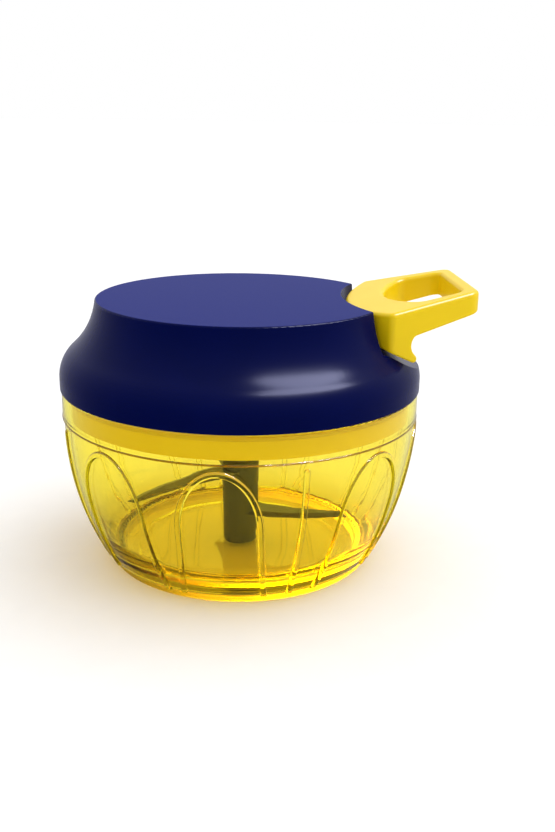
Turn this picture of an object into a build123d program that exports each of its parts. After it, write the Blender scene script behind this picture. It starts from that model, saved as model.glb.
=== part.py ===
"""Hand-pulled vegetable chopper: a bowl with a blade unit, and a lid that holds the cord drive.

Millimetres, +Z up, +X towards the pull handle. The origin is the centre of the
foot ring, on the surface that the chopper stands on.
"""

import math
import os

from build123d import *

os.makedirs("parts", exist_ok=True)

# Clearances
running_gap = 0.06
sliding_gap = 0.60
drop_in_gap = 0.30
handle_gap = 1.8
thrust_gap = 0.10

# Bowl: the wall's outside is an arc through three heights
rim_height = 64.2
collar_height = 10.0
collar_step = 0.5
wall_top_radius = 63.1
wall_middle_inset = 3.6
wall_middle_height = 28.0
wall_foot_inset = 13.9
wall_foot_height = 3.0
bowl_wall = 2.2
floor_height = 2.4
floor_thickness = 1.6
floor_corner_radius = 22.0
underside_inset = 6.8
heel_height = 4.0
rim_round = 0.5
collar_round = 0.35

# Foot skirt of the bowl and the soft ring pushed over it
skirt_step = 2.4
skirt_thickness = 2.0
ring_sole = 1.2
ring_wall = 1.0
ring_round = 0.6

# Relief ribs on the bowl: pairs of arches with a straight rib after each pair
rib_repeats = 4
rib_width = 2.2
rib_relief = 0.8
rib_root = 0.4
rib_round = 0.7
arch_half_width = 13.3
arch_rise = 20.0
arch_top_gap = 3.0
arch_first_angle = -136.0
arch_second_angle = -98.0
straight_rib_angle = -72.3
straight_rib_gap = 2.2

# Blade pivot: a steel pin pressed into a boss on the bowl floor
pin_radius = 2.0
pin_chamfer = 0.5
pin_top_gap = 7.5
pin_seat = 1.6
pin_boss_wall = 1.6
boss_top = 6.4

# Blade hub
hub_top_gap = 0.6
hub_bottom_radius = 6.3
hub_top_radius = 7.2
hub_floor_gap = 0.4
hub_round = 0.5

# Blades: height of the underside, room to the bowl wall and heading at the root
blade_thickness = 1.0
blade_root_step = 1.4
blade_root_width = 11.0
blade_tip_width = 4.5
blade_bow_radius = 150.0
blade_bevel_width = 2.4
blade_bevel_depth = 0.7
lower_blade_height = 14.5
lower_blade_wall_gap = 13.0
lower_blade_heading = -21.5
middle_blade_height = 22.25
middle_blade_wall_gap = 12.5
middle_blade_heading = 92.0
upper_blade_height = 30.0
upper_blade_wall_gap = 9.2
upper_blade_heading = 208.5

# Lid cover: the outside is a straight rim, a round shoulder and a hollow neck
seam_gap = 0.2
cover_height = 30.5
lid_overhang = 0.5
rim_band = 3.8
shoulder_inset = 4.1
shoulder_height = 13.0
neck_inset = 13.1
cover_wall = 2.2
cover_edge_round = 0.7

# Notch in the cover for the handle
notch_radius = 56.0
notch_drop = 13.0
notch_flat = 10.0
notch_slope = 0.60
notch_blend = 14.0
notch_edge_round = 0.4

# Lid base: the plate under the drive, with a skirt that plugs the bowl
flange_thickness = 2.0
flange_lip = 1.0
flange_gap = 0.10
base_skirt_depth = 9.0
base_skirt_wall = 2.4
base_plate_depth = 6.8
base_plate_thickness = 2.0
base_boss_wall = 2.9
base_boss_depth = 11.2
base_boss_top_depth = 0.2
base_edge = 0.5

# Seal in the skirt
seal_drop = 2.8
seal_height = 1.8
seal_depth = 1.2
seal_gap = 0.30
seal_round = 0.45

# Lid screws and their posts
screw_count = 4
screw_inset = 8.0
screw_first_angle = 45.0
post_radius = 3.6
screw_radius = 1.5
screw_length = 12.0
screw_head_radius = 2.9
screw_head_height = 1.4
screw_slot_width = 0.8
screw_slot_depth = 0.6
pilot_extra = 2.0

# Cord and the drum it winds on
cord_radius = 1.2
cord_drop = 6.9
cord_wrap_radius = 26.0
cord_turn_gap = 0.5
cord_turns = 2
cord_bend_radius = 7.2
cord_corner_gap = 1.4
cord_side_gap = 0.2
cord_hole_gap = 0.6
knot_step = 1.2
knot_length = 4.4
knot_round = 1.2
quarters_per_turn = 4
gap_steps = 12

# Spool
spool_flange_step = 3.5
spool_side_gap = 3.4
spool_flange = 1.5
spool_drum_wall = 2.2
spool_floor = 1.5

# Axle and its post inside the cover
axle_radius = 2.0
axle_end_rise = 0.6
axle_post_wall = 3.0
axle_post_gap = 1.6
spring_slot = 0.9

# Main spring, a flat strip wound round the axle post
spring_turns = 6
spring_strip = 0.5
spring_lift = 0.8
spring_top_gap = 1.1
spring_side_gap = 0.6
spring_inner_gap = 1.2
spring_hook_radius = 1.2

# Cover plate over the spring
spring_cover_thickness = 1.0
spring_cover_overlap = 2.6

# Drive shaft from the spool down to the blade hub
shaft_radius = 6.0
shaft_spigot_flats = 10.0
shaft_flange_step = 5.0
shaft_flange_thickness = 2.0
shaft_collar_step = 2.6
shaft_collar_height = 2.0
hex_flats = 8.0
hex_length = 8.5
hex_gap = 0.2
hex_socket_extra = 1.0

# Bush and thrust washer in the lid base
bush_wall = 2.0
bush_flange_step = 1.5
bush_flange_thickness = 1.0
washer_thickness = 0.8

# Eyelet in the notch wall
eyelet_wall = 1.2
eyelet_lip = 1.2
eyelet_flange_thickness = 0.8
eyelet_stand_off = 0.2
eyelet_inner_length = 0.9
eyelet_round = 0.35

# Pull handle: a block that fills the notch, with a ring plate for the fingers
handle_drop = 2.0
handle_rise = 0.21
handle_end_bar = 4.9
handle_end_half_width = 23.8
handle_end_corner = 5.0
handle_end_height = 7.6
handle_root_half_width = 32.3
handle_root_round = 2.5
handle_edge_round = 1.5
handle_under_round = 0.8
hole_reach = 15.4
hole_length = 23.3
hole_inner_half_width = 21.7
hole_outer_half_width = 19.5
hole_bow_radius = 30.0
hole_corner = 4.0
neck_reach = 19.8
neck_drop = 8.3
neck_round = 2.0
plate_under_step = 1.2
plate_under_drop = 5.7
foot_bulge_step = 1.5
foot_bulge_drop = 12.3
foot_toe_step = 1.1
foot_toe_drop = 15.0
foot_toe_round = 1.2
foot_gap = 1.2
pocket_reach = 6.9
pocket_gap = 1.0
plug_thickness = 2.0
plug_gap = 0.1

# Radii of the bowl and lid
collar_radius = wall_top_radius + collar_step
wall_middle_radius = wall_top_radius - wall_middle_inset
wall_foot_radius = wall_top_radius - wall_foot_inset
skirt_outer_radius = wall_foot_radius - skirt_step
skirt_inner_radius = skirt_outer_radius - skirt_thickness
underside_radius = skirt_inner_radius - underside_inset
cover_rim_radius = collar_radius + lid_overhang
shoulder_end_radius = cover_rim_radius - shoulder_inset
cover_top_radius = cover_rim_radius - neck_inset
rebate_radius = cover_rim_radius - flange_lip
base_flange_radius = rebate_radius - flange_gap
screw_circle = cover_top_radius - screw_inset

# Heights, from the bowl's rim
underside_height = floor_height - floor_thickness
collar_bottom = rim_height - collar_height
arch_spring_height = collar_bottom - arch_top_gap - arch_rise
straight_rib_top = collar_bottom - straight_rib_gap
cover_bottom = rim_height + seam_gap
cover_top = cover_bottom + cover_height
roof_height = cover_top - cover_wall
shoulder_start = cover_bottom + rim_band
shoulder_end_height = cover_bottom + shoulder_height
notch_floor = cover_top - notch_drop
flange_top = rim_height + flange_thickness
base_skirt_bottom = rim_height - base_skirt_depth
base_plate_bottom = rim_height - base_plate_depth
plate_top = base_plate_bottom + base_plate_thickness
base_boss_bottom = rim_height - base_boss_depth
base_boss_top = rim_height - base_boss_top_depth
seal_bottom = rim_height - seal_drop
hub_bottom = floor_height + hub_floor_gap
hub_top = base_boss_bottom - hub_top_gap
hex_bottom = base_boss_bottom - hex_length
socket_bottom = hex_bottom - hex_socket_extra
pin_top = socket_bottom - pin_top_gap

# Cord drive: heights and radii of the spool and of what it turns on
cord_height = cover_top - cord_drop
cord_pitch = 2 * cord_radius + cord_turn_gap
channel_bottom = cord_height - cord_turns * cord_pitch - cord_radius - cord_side_gap
channel_top = cord_height + cord_radius + cord_side_gap
spool_bottom = channel_bottom - spool_flange
spool_top = channel_top + spool_flange
drum_radius = cord_wrap_radius - cord_radius - running_gap
drum_inside = drum_radius - spool_drum_wall
flange_radius = cord_wrap_radius + spool_flange_step
axle_post_radius = axle_radius + axle_post_wall
axle_post_bottom = spool_bottom + spool_floor + axle_post_gap
spring_bottom = axle_post_bottom + spring_lift
spring_height = spool_top - spring_top_gap - spring_bottom
spring_inner_radius = axle_post_radius + spring_inner_gap
bush_outer = shaft_radius + running_gap + bush_wall
bush_flange_radius = bush_outer + bush_flange_step
base_boss_radius = bush_outer + base_boss_wall
shaft_collar_radius = shaft_radius + shaft_collar_step
shaft_flange_radius = shaft_radius + shaft_flange_step
washer_bottom = base_boss_top + bush_flange_thickness
shaft_collar_bottom = washer_bottom + washer_thickness + thrust_gap
axle_bottom = shaft_collar_bottom + axle_end_rise
boss_radius = pin_radius + pin_boss_wall
blade_root_radius = pin_radius + blade_root_step

# Eyelet, knot and pocket, from the cord
eyelet_bore = cord_radius + cord_hole_gap
eyelet_tube = eyelet_bore + eyelet_wall
eyelet_flange_radius = eyelet_tube + eyelet_lip
cord_hole_radius = cord_radius + cord_hole_gap
knot_radius = cord_radius + knot_step
pocket_radius = knot_radius + pocket_gap

# Notch and handle, outwards from the spool
notch_wall_inside = flange_radius + spool_side_gap + eyelet_inner_length
notch_depth_x = notch_wall_inside + cover_wall
notch_centre_x = notch_depth_x + notch_radius
notch_break_x = notch_depth_x + notch_flat
notch_span = 2 * cover_rim_radius
cord_corner_x = notch_wall_inside - eyelet_inner_length - cord_corner_gap
handle_inner_x = notch_depth_x + handle_gap
handle_inner_radius = notch_radius - handle_gap
handle_root_x = notch_centre_x - math.sqrt(handle_inner_radius**2 - handle_root_half_width**2)
pocket_x = notch_depth_x + pocket_reach
hole_inner_x = notch_depth_x + hole_reach
hole_outer_x = hole_inner_x + hole_length
hole_bow = hole_bow_radius - math.sqrt(hole_bow_radius**2 - hole_inner_half_width**2)
handle_end_x = hole_outer_x + handle_end_bar
neck_x = notch_depth_x + neck_reach
plate_under_x = neck_x + plate_under_step
foot_bulge_x = neck_x + foot_bulge_step
foot_toe_x = neck_x + foot_toe_step
handle_top_height = cover_top - handle_drop
handle_bottom = notch_floor + foot_gap
plate_under_height = handle_top_height - plate_under_drop
neck_height = handle_top_height - neck_drop
foot_bulge_height = handle_top_height - foot_bulge_drop
foot_toe_height = handle_top_height - foot_toe_drop
pocket_top = cord_height + pocket_radius

parts = []


def finish(piece, name):
    """Label a finished piece and write it as one node."""
    piece.part.label = name
    export_step(piece.part, f"parts/{name}.step")
    parts.append(name)


# Bowl wall: the circle that its outside follows
wall_foot = (wall_foot_radius, wall_foot_height)
wall_middle = (wall_middle_radius, wall_middle_height)
wall_top = (wall_top_radius, collar_bottom)
wall_circle = ThreePointArc(wall_foot, wall_middle, wall_top)
wall_centre = wall_circle.arc_center


def wall_point(height, depth):
    """Profile point of the bowl wall at a height, a depth in from its outside."""
    reach = wall_circle.radius - depth
    return (wall_centre.X + math.sqrt(reach**2 - (height - wall_centre.Y) ** 2), height)


def wall_arc(bottom, depth):
    """Arc of the bowl wall from a height up to the collar, a depth in from its outside."""
    middle = wall_point(wall_middle_height, depth)
    return ThreePointArc(wall_point(bottom, depth), middle, wall_point(collar_bottom, depth))


mouth_radius = wall_point(collar_bottom, bowl_wall)[0]


def draw_arch(half_width, rise):
    """Draw the lines of an arch that stands on the bowl's foot."""
    Line((-half_width, wall_foot_height), (-half_width, arch_spring_height))
    EllipticalCenterArc((0, arch_spring_height), half_width, rise, arc_size=180)
    Line((half_width, arch_spring_height), (half_width, wall_foot_height))
    Line((half_width, wall_foot_height), (-half_width, wall_foot_height))


# Thin skin over the bowl's outside, that the ribs are cut from
with BuildPart() as rib_skin:
    with BuildSketch(Plane.XZ):
        with BuildLine():
            outside = wall_arc(wall_foot_height, -rib_relief)
            inside = wall_arc(wall_foot_height, rib_root)
            Line(outside @ 0, inside @ 0)
            Line(outside @ 1, inside @ 1)
        make_face()
    revolve(axis=Axis.Z)

# One arch and one straight rib, both on the +X side
rib_plane = Plane.YZ.offset(underside_radius)
with BuildPart() as arch_rib:
    with BuildSketch(rib_plane):
        with BuildLine():
            draw_arch(arch_half_width + rib_width / 2, arch_rise + rib_width / 2)
        make_face()
        with BuildLine():
            draw_arch(arch_half_width - rib_width / 2, arch_rise - rib_width / 2)
        make_face(mode=Mode.SUBTRACT)
    extrude(amount=wall_top_radius)
    add(rib_skin.part, mode=Mode.INTERSECT)
    crest = arch_rib.faces().filter_by(GeomType.REVOLUTION).sort_by(Axis.X)[-1]
    fillet(crest.edges() - arch_rib.edges().group_by(Axis.Z)[0], rib_round)

with BuildPart() as straight_rib:
    with BuildSketch(rib_plane):
        with Locations((0, straight_rib_top - rib_width / 2)):
            Circle(rib_width / 2)
        with Locations((0, wall_foot_height)):
            straight_height = straight_rib_top - rib_width / 2 - wall_foot_height
            Rectangle(rib_width, straight_height, align=(Align.CENTER, Align.MIN))
    extrude(amount=wall_top_radius)
    add(rib_skin.part, mode=Mode.INTERSECT)
    crest = straight_rib.faces().filter_by(GeomType.REVOLUTION).sort_by(Axis.X)[-1]
    fillet(crest.edges() - straight_rib.edges().group_by(Axis.Z)[0], rib_round)

# Bowl
with BuildPart() as bowl:
    with BuildSketch(Plane.XZ):
        with BuildLine():
            wall = wall_arc(wall_foot_height, 0)
            Polyline(
                wall @ 1,
                (collar_radius, collar_bottom),
                (collar_radius, rim_height),
                (0, rim_height),
                (0, underside_height),
                (underside_radius, underside_height),
                (skirt_inner_radius, heel_height),
                (skirt_inner_radius, ring_sole),
                (skirt_outer_radius, ring_sole),
                (skirt_outer_radius, wall_foot_height),
                wall @ 0,
            )
        make_face()
    revolve(axis=Axis.Z)
    with BuildSketch(Plane.XZ) as bowl_inside:
        with BuildLine():
            wall = wall_arc(floor_height, bowl_wall)
            Polyline(
                wall @ 1,
                (mouth_radius, rim_height),
                (0, rim_height),
                (0, floor_height),
                wall @ 0,
            )
        make_face()
        fillet(bowl_inside.vertices().sort_by_distance(wall @ 0)[0], floor_corner_radius)
    revolve(axis=Axis.Z, mode=Mode.SUBTRACT)
    fillet(bowl.edges().group_by(Axis.Z)[-1], rim_round)
    collar_corner = (collar_radius, 0, collar_bottom)
    collar_edge = bowl.edges().filter_by(GeomType.CIRCLE).sort_by_distance(collar_corner)[0]
    fillet(collar_edge, collar_round)
    with BuildSketch(Plane.XY.offset(underside_height)):
        Circle(boss_radius)
    extrude(amount=boss_top - underside_height)
    with BuildSketch(Plane.XY.offset(pin_seat)):
        Circle(pin_radius)
    extrude(amount=boss_top - pin_seat, mode=Mode.SUBTRACT)
    for first_angle in (arch_first_angle, arch_second_angle):
        with PolarLocations(0, rib_repeats, first_angle):
            add(arch_rib.part)
    with PolarLocations(0, rib_repeats, straight_rib_angle):
        add(straight_rib.part)
finish(bowl, "bowl")

# Soft foot ring, a channel over the bowl's skirt
with BuildPart() as foot_ring:
    with BuildSketch():
        Circle(skirt_outer_radius + ring_wall)
        Circle(skirt_inner_radius - ring_wall, mode=Mode.SUBTRACT)
    extrude(amount=wall_foot_height)
    with BuildSketch(Plane.XY.offset(ring_sole)):
        Circle(skirt_outer_radius)
        Circle(skirt_inner_radius, mode=Mode.SUBTRACT)
    extrude(amount=wall_foot_height - ring_sole, mode=Mode.SUBTRACT)
    fillet(foot_ring.edges().group_by(Axis.Z)[0].sort_by(SortBy.RADIUS)[-1], ring_round)
finish(foot_ring, "foot_ring")

# Steel pin that the blade unit turns on
with BuildPart() as blade_pin:
    with BuildSketch(Plane.XY.offset(pin_seat)):
        Circle(pin_radius)
    extrude(amount=pin_top - pin_seat)
    chamfer(blade_pin.edges().group_by(Axis.Z)[-1], pin_chamfer)
finish(blade_pin, "blade_pivot_pin")


def blade_bow(along):
    """How far the blade's middle line has bent aside at a distance along it."""
    return blade_bow_radius - math.sqrt(blade_bow_radius**2 - along**2)


def make_blade(height, wall_gap, heading):
    """Curved blade with a ground edge on the side that leads as the cord is pulled."""
    level = Plane.XY.offset(height).rotated((0, 0, heading))
    reach = wall_point(height, bowl_wall)[0] - wall_gap
    half_root = blade_root_width / 2
    half_tip = blade_tip_width / 2
    middle_x = (blade_root_radius + reach) / 2
    half_middle = (blade_root_width + blade_tip_width) / 4
    lead_middle = (middle_x, blade_bow(middle_x) - half_middle)
    with BuildPart() as blade:
        with BuildSketch(level):
            with BuildLine():
                lead_tip = (reach, blade_bow(reach))
                trail_tip = (reach - half_tip, blade_bow(reach) + half_tip)
                trail_middle = (middle_x, blade_bow(middle_x) + half_middle)
                ThreePointArc((blade_root_radius, -half_root), lead_middle, lead_tip)
                Line(lead_tip, trail_tip)
                ThreePointArc(trail_tip, trail_middle, (blade_root_radius, half_root))
                Line((blade_root_radius, half_root), (blade_root_radius, -half_root))
            make_face()
        extrude(amount=blade_thickness)
        top = blade.faces().sort_by(Axis.Z)[-1]
        edge_middle = level.from_local_coords((*lead_middle, blade_thickness))
        cutting_edge = top.edges().sort_by_distance(edge_middle)[0]
        chamfer(cutting_edge, blade_bevel_width, blade_bevel_depth, reference=top)
    return blade


lower_blade = make_blade(lower_blade_height, lower_blade_wall_gap, lower_blade_heading)
middle_blade = make_blade(middle_blade_height, middle_blade_wall_gap, middle_blade_heading)
upper_blade = make_blade(upper_blade_height, upper_blade_wall_gap, upper_blade_heading)
finish(lower_blade, "lower_blade")
finish(middle_blade, "middle_blade")
finish(upper_blade, "upper_blade")

# Blade hub, moulded round the three blades
with BuildPart() as blade_hub:
    with BuildSketch(Plane.XZ):
        with BuildLine():
            Polyline(
                (0, hub_bottom),
                (hub_bottom_radius, hub_bottom),
                (hub_top_radius, hub_top),
                (0, hub_top),
                close=True,
            )
        make_face()
    revolve(axis=Axis.Z)
    fillet(blade_hub.edges().filter_by(GeomType.CIRCLE), hub_round)
    with BuildSketch(Plane.XY.offset(hub_bottom)):
        Circle(boss_radius + drop_in_gap)
    extrude(amount=boss_top - hub_bottom, mode=Mode.SUBTRACT)
    with BuildSketch(Plane.XY.offset(hub_bottom)):
        Circle(pin_radius + running_gap)
    extrude(amount=pin_top + drop_in_gap - hub_bottom, mode=Mode.SUBTRACT)
    with BuildSketch(Plane.XY.offset(hub_top)):
        RegularPolygon(hex_flats / 2 + hex_gap, 6, major_radius=False)
    extrude(amount=socket_bottom - hub_top, mode=Mode.SUBTRACT)
    for blade in (lower_blade, middle_blade, upper_blade):
        add(blade.part, mode=Mode.SUBTRACT)
finish(blade_hub, "blade_hub")

def make_notch(grow):
    """Solid of the handle's notch, grown by a wall, to take away from the cover."""
    low = notch_floor - grow
    far_drop = notch_slope * (notch_span - notch_break_x)
    with BuildPart() as notch:
        with BuildSketch(Plane.XZ) as side:
            with BuildLine():
                Polyline(
                    (0, low),
                    (notch_break_x, low),
                    (notch_span, low - far_drop),
                    (notch_span, cover_top + cover_wall),
                    (0, cover_top + cover_wall),
                    close=True,
                )
            make_face()
            fillet(side.vertices().sort_by_distance((notch_break_x, low))[0], notch_blend)
        extrude(amount=notch_span, both=True)
        with BuildSketch():
            with Locations((notch_centre_x, 0)):
                Circle(notch_radius + grow)
        extrude(amount=notch_span, mode=Mode.INTERSECT)
    return notch


def draw_cover():
    """Draw half of the cover's outside, from the rim up and back round the axis."""
    rim = Line((cover_rim_radius, cover_bottom), (cover_rim_radius, shoulder_start))
    shoulder_end = (shoulder_end_radius, shoulder_end_height)
    shoulder = TangentArc(rim @ 1, shoulder_end, tangent=rim % 1)
    neck = TangentArc(shoulder @ 1, (cover_top_radius, cover_top), tangent=shoulder % 1)
    Polyline(neck @ 1, (0, cover_top), (0, cover_bottom), rim @ 0)


# Hollow of the lid's cover
with BuildPart() as cover_inside:
    with BuildSketch(Plane.XZ):
        with BuildLine():
            draw_cover()
        make_face()
        offset(amount=-cover_wall, kind=Kind.INTERSECTION, mode=Mode.REPLACE)
        with Locations((0, cover_bottom)):
            corner = (Align.MIN, Align.MIN)
            Rectangle(cover_rim_radius - cover_wall, shoulder_start - cover_bottom, align=corner)
            Rectangle(2 * cover_wall, roof_height - cover_bottom, align=corner)
    revolve(axis=Axis.Z)
    add(make_notch(cover_wall).part, mode=Mode.SUBTRACT)

# Cover of the lid, with its screw posts and the post that holds the axle
with BuildPart() as lid_cover:
    with BuildSketch(Plane.XZ) as cover_section:
        with BuildLine():
            draw_cover()
        make_face()
        top_corner = (cover_top_radius, cover_top)
        fillet(cover_section.vertices().sort_by_distance(top_corner)[0], cover_edge_round)
    revolve(axis=Axis.Z)
    add(make_notch(0).part, mode=Mode.SUBTRACT)
    fillet(lid_cover.edges().group_by(Axis.Z)[-1].sort_by(Axis.X)[-1], notch_edge_round)
    add(cover_inside.part, mode=Mode.SUBTRACT)
    with BuildSketch(Plane.XY.offset(cover_bottom)):
        Circle(rebate_radius)
    extrude(amount=flange_top - cover_bottom, mode=Mode.SUBTRACT)
    with BuildSketch(Plane.XY.offset(plate_top)):
        with PolarLocations(screw_circle, screw_count, screw_first_angle):
            Circle(post_radius)
    extrude(amount=roof_height - plate_top)
    with BuildSketch(Plane.XY.offset(plate_top)):
        with PolarLocations(screw_circle, screw_count, screw_first_angle):
            Circle(screw_radius)
    extrude(amount=screw_length - base_plate_thickness + pilot_extra, mode=Mode.SUBTRACT)
    with BuildSketch(Plane.XY.offset(axle_post_bottom)):
        Circle(axle_post_radius)
    extrude(amount=roof_height - axle_post_bottom)
    with BuildSketch(Plane.XY.offset(axle_post_bottom)):
        Circle(axle_radius)
    extrude(amount=roof_height - axle_post_bottom, mode=Mode.SUBTRACT)
    with BuildSketch(Plane.XY.offset(axle_post_bottom)):
        with Locations((axle_radius + spring_strip, -spring_hook_radius)):
            Rectangle(axle_post_radius, spring_slot, align=(Align.MIN, Align.CENTER))
    extrude(amount=spring_lift + spring_height + spring_slot, mode=Mode.SUBTRACT)
    with BuildSketch(Plane.YZ.offset(notch_depth_x + cover_wall)):
        with Locations((0, cord_height)):
            Circle(eyelet_tube + running_gap)
    extrude(amount=-3 * cover_wall, mode=Mode.SUBTRACT)
finish(lid_cover, "lid_cover")

# Base of the lid, with the skirt that plugs the bowl
base_skirt_radius = mouth_radius - sliding_gap
base_skirt_inner = base_skirt_radius - base_skirt_wall
with BuildPart() as lid_base:
    with BuildSketch(Plane.XZ) as base_section:
        with BuildLine():
            Polyline(
                (bush_outer, base_boss_bottom),
                (base_boss_radius, base_boss_bottom),
                (base_boss_radius, base_plate_bottom),
                (base_skirt_inner, base_plate_bottom),
                (base_skirt_inner, base_skirt_bottom),
                (base_skirt_radius, base_skirt_bottom),
                (base_skirt_radius, rim_height),
                (base_flange_radius, rim_height),
                (base_flange_radius, flange_top),
                (base_skirt_inner, flange_top),
                (base_skirt_inner, plate_top),
                (base_boss_radius, plate_top),
                (base_boss_radius, base_boss_top),
                (bush_outer, base_boss_top),
                close=True,
            )
        make_face()
        skirt_corner = (base_skirt_radius, base_skirt_bottom)
        fillet(base_section.vertices().sort_by_distance(skirt_corner)[0], base_edge)
    revolve(axis=Axis.Z)
    with BuildSketch(Plane.XY.offset(seal_bottom)):
        Circle(base_skirt_radius)
        Circle(base_skirt_radius - seal_depth, mode=Mode.SUBTRACT)
    extrude(amount=seal_height, mode=Mode.SUBTRACT)
    with BuildSketch(Plane.XY.offset(base_plate_bottom)):
        with PolarLocations(screw_circle, screw_count, screw_first_angle):
            Circle(screw_radius + drop_in_gap)
    extrude(amount=base_plate_thickness, mode=Mode.SUBTRACT)
finish(lid_base, "lid_base")

# Seal round the skirt
with BuildPart() as lid_seal:
    with BuildSketch(Plane.XY.offset(seal_bottom)):
        Circle(mouth_radius - seal_gap)
        Circle(base_skirt_radius - seal_depth, mode=Mode.SUBTRACT)
    extrude(amount=seal_height)
    seal_circles = lid_seal.edges().filter_by(GeomType.CIRCLE)
    fillet(seal_circles.sort_by(SortBy.RADIUS)[-2:], seal_round)
finish(lid_seal, "lid_seal")

# Screws that hold the base to the cover's posts
with BuildPart() as lid_screws:
    with BuildSketch(Plane.XY.offset(base_plate_bottom - screw_head_height)):
        with PolarLocations(screw_circle, screw_count, screw_first_angle):
            Circle(screw_head_radius)
    extrude(amount=screw_head_height)
    with BuildSketch(Plane.XY.offset(base_plate_bottom)):
        with PolarLocations(screw_circle, screw_count, screw_first_angle):
            Circle(screw_radius)
    extrude(amount=screw_length)
    with BuildSketch(Plane.XY.offset(base_plate_bottom - screw_head_height)):
        with PolarLocations(screw_circle, screw_count, screw_first_angle):
            Rectangle(screw_head_radius, screw_slot_width)
            Rectangle(screw_slot_width, screw_head_radius)
    extrude(amount=screw_slot_depth, mode=Mode.SUBTRACT)
finish(lid_screws, "lid_screws")

# Axle that the spool turns on
with BuildPart() as spool_axle:
    with BuildSketch(Plane.XY.offset(axle_bottom)):
        Circle(axle_radius)
    extrude(amount=roof_height - axle_bottom)
finish(spool_axle, "spool_axle")

# Eyelet that leads the cord out into the notch
with BuildPart() as cord_eyelet:
    eyelet_seat = notch_depth_x + eyelet_stand_off
    with BuildSketch(Plane.YZ.offset(notch_wall_inside - eyelet_inner_length)):
        with Locations((0, cord_height)):
            Circle(eyelet_tube)
    extrude(amount=eyelet_seat - notch_wall_inside + eyelet_inner_length)
    with BuildSketch(Plane.YZ.offset(eyelet_seat)):
        with Locations((0, cord_height)):
            Circle(eyelet_flange_radius)
    extrude(amount=eyelet_flange_thickness)
    with BuildSketch(Plane.YZ.offset(notch_wall_inside - eyelet_inner_length)):
        with Locations((0, cord_height)):
            Circle(eyelet_bore)
    extrude(amount=notch_depth_x, mode=Mode.SUBTRACT)
    fillet(cord_eyelet.edges().group_by(Axis.X)[-1], eyelet_round)
finish(cord_eyelet, "cord_eyelet")

# Spool: a drum between two flanges, open at the top for the spring
with BuildPart() as cord_spool:
    with BuildSketch(Plane.XZ):
        with BuildLine():
            Polyline(
                (0, spool_bottom),
                (flange_radius, spool_bottom),
                (flange_radius, channel_bottom),
                (drum_radius, channel_bottom),
                (drum_radius, channel_top),
                (flange_radius, channel_top),
                (flange_radius, spool_top),
                (drum_inside, spool_top),
                (drum_inside, spool_bottom + spool_floor),
                (0, spool_bottom + spool_floor),
                close=True,
            )
        make_face()
    revolve(axis=Axis.Z)
    with BuildSketch(Plane.XY.offset(spool_bottom)):
        RegularPolygon(shaft_spigot_flats / 2, 6, major_radius=False)
    extrude(amount=spool_floor, mode=Mode.SUBTRACT)
finish(cord_spool, "cord_spool")

# Plate over the spring
with BuildPart() as spring_cover:
    with BuildSketch(Plane.XY.offset(spool_top)):
        Circle(drum_inside + spring_cover_overlap)
        Circle(axle_post_radius + spring_side_gap, mode=Mode.SUBTRACT)
    extrude(amount=spring_cover_thickness)
finish(spring_cover, "spring_cover")

# Main spring: half turns about two centres, so that each turn lies outside the last
with BuildPart() as main_spring:
    outer_radius = drum_inside - spring_side_gap - spring_strip / 2
    half_turns = 2 * spring_turns
    growth = (outer_radius - spring_inner_radius) / half_turns
    hook_x = spring_inner_radius - spring_hook_radius
    with BuildSketch(Plane.XY.offset(spring_bottom)):
        with BuildLine() as strip:
            Line((axle_radius + 2 * spring_strip, -spring_hook_radius), (hook_x, -spring_hook_radius))
            CenterArc((hook_x, 0), spring_hook_radius, -90, 90)
            for half_turn in range(half_turns):
                side = half_turn % 2
                turn_radius = spring_inner_radius + half_turn * growth
                CenterArc((side * growth, 0), turn_radius, 180 * side, 180)
        trace(lines=strip.edges(), line_width=spring_strip)
    extrude(amount=spring_height)
finish(main_spring, "main_spring")

# Drive shaft, with a hexagon at each end
with BuildPart() as drive_shaft:
    with BuildSketch(Plane.XY.offset(hex_bottom)):
        RegularPolygon(hex_flats / 2, 6, major_radius=False)
    extrude(amount=hex_length)
    with BuildSketch(Plane.XY.offset(base_boss_bottom)):
        Circle(shaft_radius)
    extrude(amount=spool_bottom - base_boss_bottom)
    with BuildSketch(Plane.XY.offset(shaft_collar_bottom)):
        Circle(shaft_collar_radius)
    extrude(amount=shaft_collar_height)
    with BuildSketch(Plane.XY.offset(spool_bottom - shaft_flange_thickness)):
        Circle(shaft_flange_radius)
    extrude(amount=shaft_flange_thickness)
    with BuildSketch(Plane.XY.offset(spool_bottom)):
        RegularPolygon(shaft_spigot_flats / 2, 6, major_radius=False)
    extrude(amount=spool_floor)
    with BuildSketch(Plane.XY.offset(axle_bottom - drop_in_gap)):
        Circle(axle_radius + running_gap)
    extrude(amount=spool_bottom + spool_floor - axle_bottom + drop_in_gap, mode=Mode.SUBTRACT)
finish(drive_shaft, "drive_shaft")

# Bush for the shaft in the lid base
with BuildPart() as drive_bush:
    with BuildSketch(Plane.XY.offset(base_boss_bottom)):
        Circle(bush_outer)
    extrude(amount=base_boss_top - base_boss_bottom)
    with BuildSketch(Plane.XY.offset(base_boss_top)):
        Circle(bush_flange_radius)
    extrude(amount=bush_flange_thickness)
    with BuildSketch(Plane.XY.offset(base_boss_bottom)):
        Circle(shaft_radius + running_gap)
    extrude(amount=washer_bottom - base_boss_bottom, mode=Mode.SUBTRACT)
finish(drive_bush, "drive_bush")

# Washer between the bush and the shaft's collar
with BuildPart() as thrust_washer:
    with BuildSketch(Plane.XY.offset(washer_bottom)):
        Circle(bush_flange_radius)
        Circle(shaft_radius + drop_in_gap, mode=Mode.SUBTRACT)
    extrude(amount=washer_thickness)
finish(thrust_washer, "thrust_washer")

# Cord wound on the drum, from the point where it leaves it
leave_angle = math.acos(cord_wrap_radius / cord_corner_x)


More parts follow.
